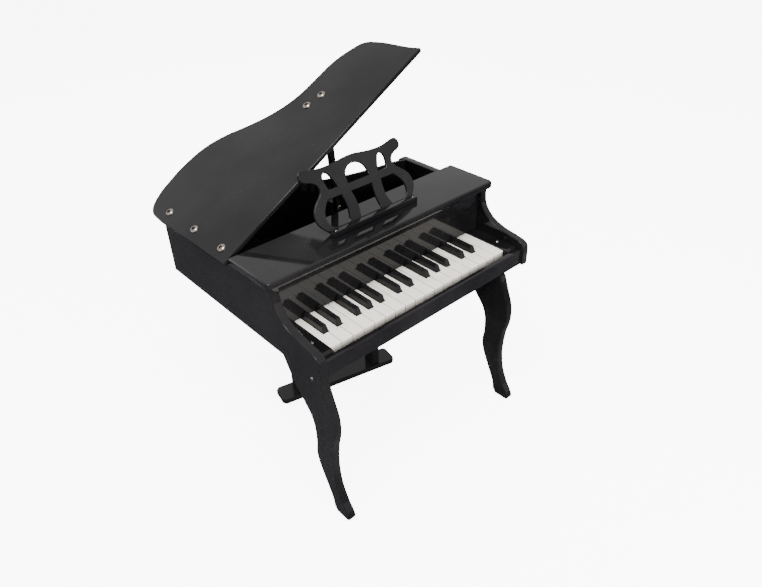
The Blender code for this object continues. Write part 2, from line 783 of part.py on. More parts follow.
def build_prop_post():
    """Post on the bottom board, one piece with the pin that the prop turns on."""
    front = PROP_Y + PROP_THICK / 2 + GAP
    bottom = CASE_BOTTOM + FLOOR_BOARD + GAP
    mesh = box_mesh("prop_post", (PROP_X - 0.010, front, bottom),
                    (PROP_X + 0.010, front + 0.020, PROP_Z + 0.012))
    obj = add_mesh_object("prop_post", mesh, INNER_BOARD, BODY)
    add_bevel(obj, 0.0008)
    tip = PROP_Y - PROP_THICK / 2 - 0.0006
    pin = rod_mesh("prop_pin", PROP_PIN_RADIUS, (PROP_X, tip, PROP_Z), (PROP_X, front + 0.008, PROP_Z))
    boolean(obj, [pin], "UNION")
    return obj


# ---------------------------------------------------------------- music desk
def desk_half_outline():
    """Right half of the desk's outline from the foot up, as (x, height)."""
    return (
        (0.0890, 0.0, 0), (0.0975, 0.0085, 1), (0.1060, 0.0200, 1), (0.1080, 0.0320, 1),
        (0.1040, 0.0440, 1), (0.0940, 0.0545, 1), (0.0840, 0.0630, 1), (0.0795, 0.0715, 1),
        (0.0815, 0.0795, 1), (0.0900, 0.0860, 1), (0.1010, 0.0895, 1), (0.1075, 0.0945, 1),
        (0.1085, 0.1015, 1), (0.1050, 0.1080, 1), (0.0985, 0.1100, 1), (0.0880, 0.1080, 1),
        (0.0700, 0.1047, 1), (0.0440, 0.1045, 1), (0.0230, 0.1068, 1), (0.0080, 0.1084, 1),
    )


def mirrored(half):
    """A closed outline from its right half, bottom to top."""
    right = [(x, y, bool(smooth)) for x, y, smooth in half]
    left = [(-x, y, bool(smooth)) for x, y, smooth in reversed(half)]
    return right + left


def desk_holes():
    """Three arched openings above the bar and three windows below it."""
    centre_arch = [(0.0235, 0.0655, 0), (0.0220, 0.0790, 1), (0.0155, 0.0893, 1), (0.0, 0.0943, 1),
                   (-0.0155, 0.0893, 1), (-0.0220, 0.0790, 1), (-0.0235, 0.0655, 0)]
    side_arch = [(0.0635, 0.0665, 0), (0.0665, 0.0790, 1), (0.0665, 0.0880, 1),
                 (0.0628, 0.0938, 1), (0.0566, 0.0934, 1), (0.0520, 0.0870, 1),
                 (0.0475, 0.0765, 1), (0.0430, 0.0665, 0)]
    centre_window = [(0.0235, 0.0065, 0), (0.0205, 0.0200, 1), (0.0205, 0.0390, 1),
                     (0.0230, 0.0520, 0), (-0.0230, 0.0520, 0), (-0.0205, 0.0390, 1),
                     (-0.0205, 0.0200, 1), (-0.0235, 0.0065, 0)]
    side_window = [(0.0790, 0.0065, 0), (0.0870, 0.0160, 1), (0.0880, 0.0290, 1),
                   (0.0810, 0.0430, 1), (0.0720, 0.0525, 0), (0.0435, 0.0525, 0),
                   (0.0415, 0.0390, 1), (0.0425, 0.0200, 1), (0.0480, 0.0065, 0)]
    holes = []
    for points in (centre_arch, side_arch, centre_window, side_window):
        holes.append([(x, y, bool(smooth)) for x, y, smooth in points])
    for points in (side_arch, side_window):
        holes.append([(-x, y, bool(smooth)) for x, y, smooth in reversed(points)])
    return holes


def build_music_desk():
    """Cut-out desk that leans back, its foot standing on the top board."""
    stand = Matrix(((1, 0, 0, 0), (0, 0, -1, DESK_THICK / 2), (0, 1, 0, 0), (0, 0, 0, 1)))
    splines = [mirrored(desk_half_outline())] + desk_holes()
    mesh = flat_outline_mesh("music_desk", splines, DESK_THICK, 0.0010, 3, stand)
    lift = BOARD_TOP + GAP + DESK_THICK * math.sin(DESK_LEAN)
    place = Matrix.Translation((DESK_X, DESK_Y, lift)) @ Matrix.Rotation(-DESK_LEAN, 4, "X")
    return add_mesh_object("music_desk", mesh, LACQUER, BODY, place)


def build_music_ledge():
    """Round-ended bar in front of the desk that keeps the sheets from sliding."""
    back = DESK_Y - GAP - 0.0008
    outline = []
    radius = LEDGE_DEPTH / 2
    for centre, start in ((LEDGE_HALF - radius, -90), (-LEDGE_HALF + radius, 90)):
        for step in range(7):
            angle = math.radians(start + 30 * step)
            outline.append((centre + radius * math.cos(angle),
                            back - radius + radius * math.sin(angle), False))
    lift = Matrix.Translation((DESK_X, 0, BOARD_TOP + GAP + LEDGE_HEIGHT / 2))
    mesh = flat_outline_mesh("music_ledge", [outline], LEDGE_HEIGHT, 0.0008, 1, lift)
    return add_mesh_object("music_ledge", mesh, LACQUER, BODY)


# ---------------------------------------------------------------- assembly
def build_case():
    build_left_panel()
    build_right_panel()
    build_right_leg()
    build_bent_panel()
    build_bottom_board()
    build_keyslip()
    build_fallboard()
    build_top_board()
    for side, word in ((-1, "left"), (1, "right")):
        build_key_block(word + "_key_block", side)
        build_block_screw(word + "_block_screw", side)


def build_stand():
    build_foot_bar()
    build_rear_post("rear_post_left", -POST_SPREAD)
    build_rear_post("rear_post_right", POST_SPREAD)


def build_lid_group():
    build_lid()
    for index, (x, y) in enumerate(LID_BOLTS):
        build_lid_bolt(f"lid_hinge_bolt_{index + 1}", x, y, LID_THICK)
    for index, (x, y) in enumerate(PLATE_BOLTS):
        build_lid_bolt(f"prop_plate_bolt_{index + 1}", x, y, LID_THICK + 0.0050)
    build_fixed_leaf()
    build_moving_leaf()
    build_prop_plate()


def build_prop_group():
    build_prop()
    build_prop_post()


clear_scene()
PIANO = make_collection("miniature_grand_piano")
CUTTERS = make_collection("cutters")

LACQUER = make_material("black_lacquer", (0.012, 0.012, 0.013), 0.12)
INNER_BOARD = make_material("stained_board", (0.020, 0.019, 0.018), 0.45)
IVORY = make_material("white_key_plastic", (0.78, 0.75, 0.68), 0.22)
EBONY = make_material("black_key_plastic", (0.010, 0.010, 0.011), 0.15)
NICKEL = make_material("nickel", (0.72, 0.66, 0.58), 0.22, 1.0)
STEEL = make_material("steel", (0.50, 0.50, 0.50), 0.35, 1.0)

BODY = add_empty("case_origin", (-CENTRE_X, -CENTRE_Y, 0.0))
LID_PIVOT = add_empty("lid_pivot", (HINGE_X, 0.0, HINGE_Z), (0.0, -LID_OPEN, 0.0), BODY)
PROP_PIVOT = add_empty("prop_pivot", (PROP_X, PROP_Y, PROP_Z), (0.0, PROP_LEAN, 0.0), BODY)

build_case()
build_keys()
build_pivot_rod()
build_chime_bar()
build_stand()
build_lid_group()
build_prop_group()
build_music_desk()
build_music_ledge()
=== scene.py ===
"""Visual model of a miniature grand piano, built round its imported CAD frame."""

import json
import logging
import math
from collections.abc import Callable, Iterable, Sequence
from dataclasses import dataclass, field
from enum import Enum

import bmesh
import bpy
from mathutils import Matrix, Vector

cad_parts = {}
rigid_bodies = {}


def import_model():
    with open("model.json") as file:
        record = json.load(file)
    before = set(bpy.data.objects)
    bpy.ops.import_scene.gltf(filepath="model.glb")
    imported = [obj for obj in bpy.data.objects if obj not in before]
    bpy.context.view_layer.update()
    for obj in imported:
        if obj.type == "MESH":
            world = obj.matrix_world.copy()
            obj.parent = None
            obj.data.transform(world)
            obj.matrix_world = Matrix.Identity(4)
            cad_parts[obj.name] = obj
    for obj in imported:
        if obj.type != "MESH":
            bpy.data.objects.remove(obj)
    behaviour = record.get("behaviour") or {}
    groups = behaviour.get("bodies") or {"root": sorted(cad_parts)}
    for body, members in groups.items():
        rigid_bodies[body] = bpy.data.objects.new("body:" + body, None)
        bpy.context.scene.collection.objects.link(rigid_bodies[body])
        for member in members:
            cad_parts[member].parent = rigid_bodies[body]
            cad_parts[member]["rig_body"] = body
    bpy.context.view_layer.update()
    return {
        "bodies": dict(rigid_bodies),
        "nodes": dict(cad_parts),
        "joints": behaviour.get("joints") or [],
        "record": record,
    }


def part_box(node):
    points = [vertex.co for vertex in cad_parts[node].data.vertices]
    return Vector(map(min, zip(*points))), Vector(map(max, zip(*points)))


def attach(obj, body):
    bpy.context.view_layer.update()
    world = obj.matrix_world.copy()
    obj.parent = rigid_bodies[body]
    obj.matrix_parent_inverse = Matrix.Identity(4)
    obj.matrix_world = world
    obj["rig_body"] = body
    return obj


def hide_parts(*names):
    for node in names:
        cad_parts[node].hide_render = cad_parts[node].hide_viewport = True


log = logging.getLogger("piano")

Socket = bpy.types.NodeSocket
Colour = tuple[float, float, float]

RANGE_LABELS = ("From Min", "From Max", "To Min", "To Max")
SEAT_GAP = 0.0003          # gap in metres that keeps a head off what it sits on
FASTENER_SMOOTH = 38.0     # edges of a fastener blunter than this many degrees shade smooth


class Slot(Enum):
    """Finish slots of the record."""

    LACQUER = "black_lacquer"
    BOARD = "stained_board"
    WHITE_KEY = "white_key_plastic"
    BLACK_KEY = "black_key_plastic"
    NICKEL = "nickel"
    STEEL = "steel"


class Drive(Enum):
    """Recess in a screw's or bolt's head."""

    HEX = "hexagonal socket"
    CROSS = "cross recess"


# ------------------------------------------------------------------ materials
class NodeSheet:
    """One procedural material and the wires between its nodes."""

    def __init__(self, name: str) -> None:
        """Start a material that has only its Principled shader.

        Args:
            name: The material's name.
        """
        self.material = bpy.data.materials.new(name)
        self.material.use_nodes = True
        self.tree = self.material.node_tree
        self.shader = self.tree.nodes["Principled BSDF"]
        self.place = self.add("ShaderNodeTexCoord").outputs["Object"]

    def add(self, kind: str) -> bpy.types.Node:
        """Return a new node of this kind."""
        return self.tree.nodes.new(kind)

    def link(self, source: Socket, target: Socket) -> None:
        """Wire one socket to another."""
        self.tree.links.new(source, target)

    def stretched(self, scale: Sequence[float]) -> Socket:
        """Scale the object's coordinates.

        Args:
            scale: Factors along X, Y and Z.

        Returns:
            The scaled coordinates.
        """
        mapping = self.add("ShaderNodeMapping")
        mapping.inputs["Scale"].default_value = tuple(scale)
        self.link(self.place, mapping.inputs["Vector"])
        return mapping.outputs["Vector"]

    def noise(
        self, scale: float, detail: float = 4.0, stretch: Sequence[float] = (1, 1, 1)
    ) -> Socket:
        """Make soft noise in the object's own space.

        Args:
            scale: Cells per metre.
            detail: Number of finer octaves.
            stretch: Factors along X, Y and Z.

        Returns:
            A value near 0.5 that varies over the surface.
        """
        node = self.add("ShaderNodeTexNoise")
        node.inputs["Scale"].default_value = scale
        node.inputs["Detail"].default_value = detail
        self.link(self.stretched(stretch), node.inputs["Vector"])
        return node.outputs["Fac"]

    def specks(self, scale: float, size: float) -> Socket:
        """Make scattered round specks.

        Args:
            scale: Specks per metre in each direction.
            size: Radius of a speck as a share of its cell.

        Returns:
            1 inside a speck and 0 outside it.
        """
        cells = self.add("ShaderNodeTexVoronoi")
        cells.inputs["Scale"].default_value = scale
        self.link(self.place, cells.inputs["Vector"])
        return self.remap(cells.outputs["Distance"], (size, size * 0.5), (0.0, 1.0))

    def remap(self, source: Socket, old: Sequence[float], new: Sequence[float]) -> Socket:
        """Move a value from one range to another, clamped at its ends.

        Args:
            source: The value.
            old: Its range.
            new: The range wanted.

        Returns:
            The remapped value.
        """
        node = self.add("ShaderNodeMapRange")
        self.link(source, node.inputs["Value"])
        for label, value in zip(RANGE_LABELS, (*old, *new)):
            node.inputs[label].default_value = value
        return node.outputs["Result"]

    def times(self, first: Socket, second: Socket | float) -> Socket:
        """Multiply two values.

        Args:
            first: A value.
            second: Another value, or a number.

        Returns:
            Their product.
        """
        node = self.add("ShaderNodeMath")
        node.operation = "MULTIPLY"
        self.link(first, node.inputs[0])
        if isinstance(second, (int, float)):
            node.inputs[1].default_value = second
        else:
            self.link(second, node.inputs[1])
        return node.outputs[0]

    def plus(self, first: Socket, second: Socket) -> Socket:
        """Add two values.

        Args:
            first: A value.
            second: Another value.

        Returns:
            Their sum.
        """
        node = self.add("ShaderNodeMath")
        node.operation = "ADD"
        self.link(first, node.inputs[0])
        self.link(second, node.inputs[1])
        return node.outputs[0]

    def height(self) -> Socket:
        """Return the object's own Z."""
        split = self.add("ShaderNodeSeparateXYZ")
        self.link(self.place, split.inputs[0])
        return split.outputs["Z"]

    def hollows(self, reach: float) -> Socket:
        """Find recesses by ambient occlusion, for painted shade.

        Args:
            reach: Width of the hollows that count, in metres.

        Returns:
            1 deep in a hollow and 0 on an open face.
        """
        shade = self.add("ShaderNodeAmbientOcclusion")
        shade.only_local = True
        shade.samples = 8
        shade.inputs["Distance"].default_value = reach
        return self.remap(shade.outputs["AO"], (0.88, 0.50), (0.0, 1.0))

    def flank(self) -> Socket:
        """Return 1 on faces that look along X and 0 on the others."""
        surface = self.add("ShaderNodeNewGeometry")
        split = self.add("ShaderNodeSeparateXYZ")
        self.link(surface.outputs["Normal"], split.inputs[0])
        squared = self.times(split.outputs["X"], split.outputs["X"])
        return self.remap(squared, (0.25, 0.75), (0.0, 1.0))

    def blend(self, share: Socket, first: Colour | Socket, second: Colour | Socket) -> Socket:
        """Mix two colours.

        Args:
            share: How much of the second colour shows.
            first: Colour where share is 0.
            second: Colour where share is 1.

        Returns:
            The mixed colour.
        """
        node = self.add("ShaderNodeMix")
        node.data_type = "RGBA"
        self.link(share, node.inputs["Factor"])
        for socket, colour in zip((node.inputs[6], node.inputs[7]), (first, second)):
            if isinstance(colour, tuple):
                socket.default_value = (*colour, 1.0)
            else:
                self.link(colour, socket)
        return node.outputs[2]

    def bump(self, height: Socket, strength: float, depth: float) -> None:
        """Raise the surface.

        Args:
            height: Height from 0 to 1.
            strength: Share of the effect.
            depth: Height in metres where the value is 1.
        """
        node = self.add("ShaderNodeBump")
        node.inputs["Strength"].default_value = strength
        node.inputs["Distance"].default_value = depth
        self.link(height, node.inputs["Height"])
        self.link(node.outputs["Normal"], self.shader.inputs["Normal"])

    def fix(self, **values: float) -> None:
        """Set the shader's own sockets; an underscore stands for a space."""
        for name, value in values.items():
            self.shader.inputs[name.replace("_", " ")].default_value = value


@dataclass(frozen=True)
class Lacquer:
    """Polished black lacquer on fibreboard, with dust nibs and faint hairlines."""

    name: str = "piano_black_lacquer"
    tone: Colour = (0.0035, 0.0034, 0.0038)
    haze: Colour = (0.0085, 0.0080, 0.0084)
    gloss: tuple[float, float] = (0.035, 0.085)
    specular: float = 0.25
    peel: float = 0.00010

    def material(self) -> bpy.types.Material:
        """Build the finish."""
        sheet = NodeSheet(self.name)
        cloud = sheet.noise(7.0, 3.0)
        hairs = sheet.noise(60.0, 2.0, (1.0, 22.0, 6.0))
        dust = sheet.times(sheet.specks(160.0, 0.085), sheet.remap(cloud, (0.47, 0.62), (0.0, 1.0)))
        tone = sheet.blend(sheet.remap(cloud, (0.4, 0.7), (0.0, 1.0)), self.tone, self.haze)
        tone = sheet.blend(sheet.times(dust, 0.5), tone, (0.11, 0.11, 0.115))
        sheet.link(tone, sheet.shader.inputs["Base Color"])
        rough = sheet.plus(
            sheet.remap(cloud, (0.35, 0.7), self.gloss),
            sheet.remap(hairs, (0.62, 0.78), (0.0, 0.05)),
        )
        sheet.link(sheet.plus(rough, sheet.times(dust, 0.25)), sheet.shader.inputs["Roughness"])
        relief = sheet.plus(sheet.noise(240.0, 2.0), sheet.times(dust, 0.8))
        sheet.bump(relief, 0.10, self.peel)
        sheet.fix(Specular_IOR_Level=self.specular)
        return sheet.material


@dataclass(frozen=True)
class StainedBoard:
    """Matt black stained board inside the case, with the fibreboard's flecks."""

    name: str = "stained_fibreboard"
    tone: Colour = (0.010, 0.0095, 0.009)
    fleck: Colour = (0.028, 0.025, 0.022)

    def material(self) -> bpy.types.Material:
        """Build the finish."""
        sheet = NodeSheet(self.name)
        fibres = sheet.noise(520.0, 5.0, (1.0, 1.0, 3.0))
        patches = sheet.noise(18.0, 3.0)
        share = sheet.times(sheet.remap(fibres, (0.5, 0.75), (0.0, 1.0)), patches)
        sheet.link(sheet.blend(share, self.tone, self.fleck), sheet.shader.inputs["Base Color"])
        sheet.link(sheet.remap(patches, (0.3, 0.7), (0.38, 0.58)), sheet.shader.inputs["Roughness"])
        sheet.bump(fibres, 0.25, 0.00025)
        sheet.fix(Specular_IOR_Level=0.35)
        return sheet.material


@dataclass(frozen=True)
class KeyPlastic:
    """Moulded key plastic: sink marks, handling haze, a colour that darkens towards the bottom, and
    painted shade on the side faces.
    """

    name: str
    tone: Colour
    worn: Colour
    edge: Colour
    gloss: tuple[float, float]
    # heights between which the colour darkens towards the edge colour, towards the bottom of the
    # key
    lower_band: tuple[float, float] = (0.302, 0.290)
    # painted shade: colour of the side faces, standing in for the shade in the gaps between keys
    gap_shade: Colour = (0.05, 0.04, 0.03)
    specular: float = 0.5

    def material(self) -> bpy.types.Material:
        """Build the finish."""
        sheet = NodeSheet(self.name)
        patches = sheet.noise(38.0, 4.0)
        touch = sheet.noise(160.0, 3.0, (1.0, 0.35, 1.0))
        tone = sheet.blend(sheet.remap(patches, (0.42, 0.66), (0.0, 1.0)), self.tone, self.worn)
        # darker towards the bottom
        low = sheet.remap(sheet.height(), self.lower_band, (0.0, 1.0))
        tone = sheet.blend(sheet.times(low, 0.6), tone, self.edge)
        # painted shade: faces that look along X take the gap shade colour
        tone = sheet.blend(sheet.flank(), tone, self.gap_shade)
        sheet.link(tone, sheet.shader.inputs["Base Color"])
        sheet.link(sheet.remap(touch, (0.35, 0.7), self.gloss), sheet.shader.inputs["Roughness"])
        sheet.bump(sheet.noise(70.0, 2.0), 0.12, 0.0003)
        sheet.fix(Specular_IOR_Level=self.specular)
        return sheet.material


@dataclass(frozen=True)
class Metal:
    """Plated or plain metal with turning marks, finger haze and painted shade in its recesses."""

    name: str
    tone: Colour
    dull: Colour
    gloss: tuple[float, float]
    marks: tuple[float, float, float] = (1.0, 1.0, 1.0)
    # painted shade: the colour that recesses darken to, found by ambient occlusion
    recess_shade: Colour = (0.018, 0.015, 0.012)

    def material(self) -> bpy.types.Material:
        """Build the finish."""
        sheet = NodeSheet(self.name)
        haze = sheet.noise(210.0, 4.0)
        lines = sheet.noise(900.0, 2.0, self.marks)
        tone = sheet.blend(sheet.remap(haze, (0.45, 0.7), (0.0, 1.0)), self.tone, self.dull)
        # painted shade: the tone darkens in recesses by ambient occlusion
        tone = sheet.blend(sheet.hollows(0.0022), tone, self.recess_shade)
        sheet.link(tone, sheet.shader.inputs["Base Color"])
        sheet.link(sheet.remap(haze, (0.3, 0.75), self.gloss), sheet.shader.inputs["Roughness"])
        sheet.bump(lines, 0.10, 0.00006)
        sheet.fix(Metallic=1.0)
        return sheet.material


@dataclass(frozen=True)
class StudioPaper:
    """Seamless pale paper that the piano stands on."""

    name: str = "studio_paper"
    tone: Colour = (0.90, 0.90, 0.895)
    shaded: Colour = (0.075, 0.072, 0.080)
    glow: float = 7.0

    def material(self) -> bpy.types.Material:
        """Build the paper: it glows a little, and gloss sees it as if it lay in shade."""
        sheet = NodeSheet(self.name)
        tree = sheet.tree
        rays = sheet.add("ShaderNodeLightPath")
        grain = sheet.noise(90.0, 3.0)
        sheet.link(
            sheet.blend(rays.outputs["Is Glossy Ray"], self.tone, self.shaded),
            sheet.shader.inputs["Base Color"],
        )
        sheet.bump(grain, 0.05, 0.0002)
        sheet.fix(Roughness=0.9, Specular_IOR_Level=0.0)
        light = sheet.add("ShaderNodeEmission")
        sheet.link(sheet.times(rays.outputs["Is Camera Ray"], self.glow), light.inputs["Strength"])
        both = sheet.add("ShaderNodeAddShader")
        sheet.link(sheet.shader.outputs[0], both.inputs[0])
        sheet.link(light.outputs[0], both.inputs[1])
        sheet.link(both.outputs[0], tree.nodes["Material Output"].inputs["Surface"])
        return sheet.material


class Finishes:
    """The piano's finishes, each made once."""

    def __init__(self) -> None:
        """Build every finish."""
        self.by_slot: dict[Slot, bpy.types.Material] = {
            Slot.LACQUER: Lacquer().material(),
            Slot.BOARD: StainedBoard().material(),
            Slot.WHITE_KEY: KeyPlastic(
                "white_key_plastic", (0.76, 0.725, 0.665), (0.71, 0.67, 0.60), (0.66, 0.60, 0.48),
                (0.16, 0.30),
            ).material(),
            Slot.BLACK_KEY: KeyPlastic(
                "black_key_plastic", (0.006, 0.006, 0.007), (0.011, 0.011, 0.011),
                # the black keys' painted side shade is near their own black
                (0.006, 0.006, 0.006), (0.10, 0.22), gap_shade=(0.004, 0.004, 0.004), specular=0.16,
            ).material(),
            Slot.NICKEL: Metal(
                "polished_nickel", (0.40, 0.355, 0.31), (0.20, 0.17, 0.145), (0.10, 0.20)
            ).material(),
            Slot.STEEL: Metal(
                "plain_steel", (0.50, 0.50, 0.50), (0.36, 0.36, 0.37), (0.25, 0.42), (1.0, 8.0, 8.0)
            ).material(),
        }

    def dress(self, piece: bpy.types.Object, slot: Slot) -> None:
        """Give a piece the finish of its slot.

        Args:
            piece: The piece.
            slot: The finish slot.
        """
        piece.data.materials.clear()
        piece.data.materials.append(self.by_slot[slot])


# ------------------------------------------------------------------ shapes
@dataclass
class Workshop:
    """What the sub-assemblies share: the frame, the finishes and the way a piece is made."""

    frame: dict
    finishes: Finishes
    made: list[str] = field(default_factory=list)

    def joint(self, name: str) -> dict:
        """Return a joint of the record by its name."""
        return next(joint for joint in self.frame["joints"] if joint["name"] == name)

    def body_of(self, node: str) -> str:
        """Return the name of the body that a CAD node belongs to."""
        return self.frame["nodes"][node]["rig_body"]

    def clean_shape(self, node: str) -> bmesh.types.BMesh:
        """Copy a CAD node's shape without its triangle seams.

        Args:
            node: The CAD node.

        Returns:
            A shape with one face for each flat.
        """
        shape = bmesh.new()
        shape.from_mesh(self.frame["nodes"][node].data)
        bmesh.ops.remove_doubles(shape, verts=shape.verts, dist=0.000004)
        bmesh.ops.dissolve_limit(
            shape, angle_limit=math.radians(0.8), verts=shape.verts, edges=shape.edges
        )
        bmesh.ops.recalc_face_normals(shape, faces=shape.faces)
        return shape

    def finish_piece(
        self, shape: bmesh.types.BMesh, name: str, body: str, slot: Slot, smooth: float = 50.0
    ) -> bpy.types.Object:
        """Turn a shape into a shaded piece that rides on a body.

        Args:
            shape: The piece's shape, in the frame; it is freed.
            name: The piece's name.
            body: The CAD body it rides on.
            slot: Its finish.
            smooth: Edges blunter than this many degrees shade smooth.

        Returns:
            The new piece.
        """
        mesh = bpy.data.meshes.new(name)
        shape.to_mesh(mesh)
        shape.free()
        mesh.shade_smooth()
        mesh.set_sharp_from_angle(angle=math.radians(smooth))
        piece = bpy.data.objects.new(name, mesh)
        bpy.context.scene.collection.objects.link(piece)
        self.finishes.dress(piece, slot)
        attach(piece, body)
        self.made.append(name)
        return piece

    def ease_edges(self, piece: bpy.types.Object, width: float, segments: int = 2) -> None:
        """Round a piece's sharp edges and keep its flats flat.

        Args:
            piece: The piece.
            width: Radius of the rounding; 0 leaves the edges.
            segments: Steps in the rounding.
        """
        if width > 0:
            bevel = piece.modifiers.new("Eased edges", "BEVEL")
            bevel.width = width
            bevel.segments = segments
            bevel.limit_method = "ANGLE"
            bevel.angle_limit = math.radians(32.0)
            bevel.miter_outer = "MITER_ARC"
        flats = piece.modifiers.new("True flats", "WEIGHTED_NORMAL")
        flats.keep_sharp = width == 0
        flats.weight = 80

    def refine(self, node: str, slot: Slot, width: float, smooth: float = 50.0) -> bpy.types.Object:
        """Stand a finer piece in a CAD node's place.

        Args:
            node: The CAD node.
            slot: Its finish.
            width: Radius of its eased edges.
            smooth: Edges blunter than this many degrees shade smooth.

        Returns:
            The piece that stands for the node.
        """
        shape = self.clean_shape(node)
        piece = self.finish_piece(shape, node + "_fine", self.body_of(node), slot, smooth)
        self.ease_edges(piece, width)
        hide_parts(node)
        return piece


def ring(
    radius: Callable[[float], float], height: float, sides: int
) -> list[Vector]:
    """Lay points round the Z axis.

    Args:
        radius: Distance from the axis at an angle.
        height: Height of the ring.
        sides: Number of points.

    Returns:
        The points, anticlockwise.
    """
    turns = [2 * math.pi * step / sides for step in range(sides)]
    return [Vector((radius(t) * math.cos(t), radius(t) * math.sin(t), height)) for t in turns]


def skin_rings(rings: Iterable[list[Vector]], place: Matrix) -> bmesh.types.BMesh:
    """Close a stack of rings into a solid.

    Args:
        rings: Rings with equal numbers of points, from the outer end round to the inner one.
        place: Where the solid goes.

    Returns:
        The closed shape.
    """
    shape = bmesh.new()
    rows = [[shape.verts.new(place @ point) for point in row] for row in rings]
    for lower, upper in zip(rows, rows[1:]):
        count = len(lower)
        for index in range(count):
            after = (index + 1) % count
            shape.faces.new((lower[index], lower[after], upper[after], upper[index]))
    shape.faces.new(rows[-1])
    shape.faces.new(list(reversed(rows[0])))
    bmesh.ops.recalc_face_normals(shape, faces=shape.faces)
    return shape


@dataclass
class Fastener:
    """A bolt or screw head that is turned about its axis and has a recess for the driver.

    The shares are parts of the head's radius, and the heights are parts of the height at which the
    recess begins.
    """

    drive: Drive
    dome: float
    sides: int = 48
    hex_share: float = 0.40
    cross_share: float = 0.56
    stem_share: float = 0.385
    rim_height: float = 0.955
    floor_height: float = 0.36
    point_height: float = 0.28

    def recess(self, size: float) -> Callable[[float], float]:
        """Give the outline of the driver's recess.

        Args:
            size: Half the recess's width.

        Returns:
            Its radius at each angle.
        """

        def hexagon(turn: float) -> float:
            """Radius of a hexagon at an angle."""
            return size / math.cos((turn + math.pi / 6) % (math.pi / 3) - math.pi / 6)

        def cross(turn: float) -> float:
            """Radius of a rounded cross at an angle."""
            return size * (0.50 + 0.50 * abs(math.cos(2 * turn)) ** 3)

        return hexagon if self.drive is Drive.HEX else cross

    def head(self, radius: float, place: Matrix, stem: float) -> bmesh.types.BMesh:
        """Shape the head, and the stem under it.

        Args:
            radius: Radius of the head.
            place: Frame with its origin under the middle of the head and Z outwards.
            stem: Length of the stem, towards -Z.

        Returns:
            The closed shape.
        """
        share = self.hex_share if self.drive is Drive.HEX else self.cross_share
        hole = self.recess(radius * share)
        foot = radius * self.stem_share
        flat = self.sides
        rings = [
            ring(lambda _: foot * 0.9, -stem, flat),
            ring(lambda _: foot, -stem + foot * 0.1, flat),
            ring(lambda _: foot, 0.0, flat),
            ring(lambda _: radius * 0.985, 0.0, flat),
        ]
        for step in range(8):
            rise = math.radians(3 + 9.0 * step)
            wide, high = radius * math.cos(rise) ** 0.85, self.dome * math.sin(rise)
            rings.append(ring(lambda _, wide=wide: wide, high, flat))
        top = self.dome * math.sin(math.radians(72))
        rings.append(ring(lambda turn: hole(turn) * 1.10, top * 0.995, flat))
        rings.append(ring(hole, top * self.rim_height, flat))
        rings.append(ring(hole, top * self.floor_height, flat))
        rings.append(ring(lambda turn: hole(turn) * 0.3, top * self.point_height, flat))
        return skin_rings(rings, place)


# ------------------------------------------------------------------ sub-assemblies
@dataclass
class Case:
    """Sides, tail, boards and key blocks of the case."""

    shop: Workshop
    edge: float = 0.0009
    bolt_radius: float = 0.0029
    bolt_dome: float = 0.0011

    def build_boards(self) -> None:
        """Build the lacquered boards."""
        for node in ("left_side_panel", "right_side_panel", "right_leg", "top_board"):
            self.shop.refine(node, Slot.LACQUER, 0.0)
        self.shop.refine("bent_panel", Slot.LACQUER, self.edge, 20.0)
        self.shop.refine("bottom_board", Slot.BOARD, 0.0004)
        self.shop.refine("keyslip", Slot.LACQUER, 0.0)
        self.shop.refine("fallboard", Slot.LACQUER, 0.0)

    def build_key_blocks(self) -> None:
        """Build the blocks at both ends of the keyboard and the screws in them."""
        for side in ("left", "right"):
            self.shop.refine(side + "_key_block", Slot.LACQUER, 0.0007)
            self.build_block_screw(side + "_block_screw", side + "_key_block")

    def build_block_screw(self, node: str, block: str) -> None:
        """Stand a cross-recess screw in a CAD screw's place.

        Args:
            node: The CAD node.
            block: The key block that the screw goes into.
        """
        low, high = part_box(node)
        middle = (low + high) / 2
        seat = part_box(block)[1].z
        place = Matrix.Translation((middle.x, middle.y, seat + SEAT_GAP))
        screw = Fastener(Drive.CROSS, high.z - seat - SEAT_GAP)
        shape = screw.head((high.x - low.x) / 2, place, seat - low.z)
        piece = self.shop.finish_piece(shape, node + "_fine", "case", Slot.NICKEL, FASTENER_SMOOTH)
        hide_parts(node)

    def build_side_bolt(self) -> None:
        """Add the small bolt cap on the left side, at the top of the leg."""
        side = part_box("left_side_panel")[0]
        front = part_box("white_key_01")[0].y
        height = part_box("bottom_board")[0].z - 0.0025
        turn = Matrix.Rotation(math.radians(-90), 4, "Y")
        place = Matrix.Translation((side.x, front - 0.004, height)) @ turn
        shape = Fastener(Drive.HEX, self.bolt_dome).head(self.bolt_radius, place, 0.004)
        self.shop.finish_piece(shape, "side_bolt_cap", "case", Slot.STEEL, FASTENER_SMOOTH)

    def build(self) -> None:
        """Build the whole case."""
        self.build_boards()
        self.build_key_blocks()
        self.build_side_bolt()


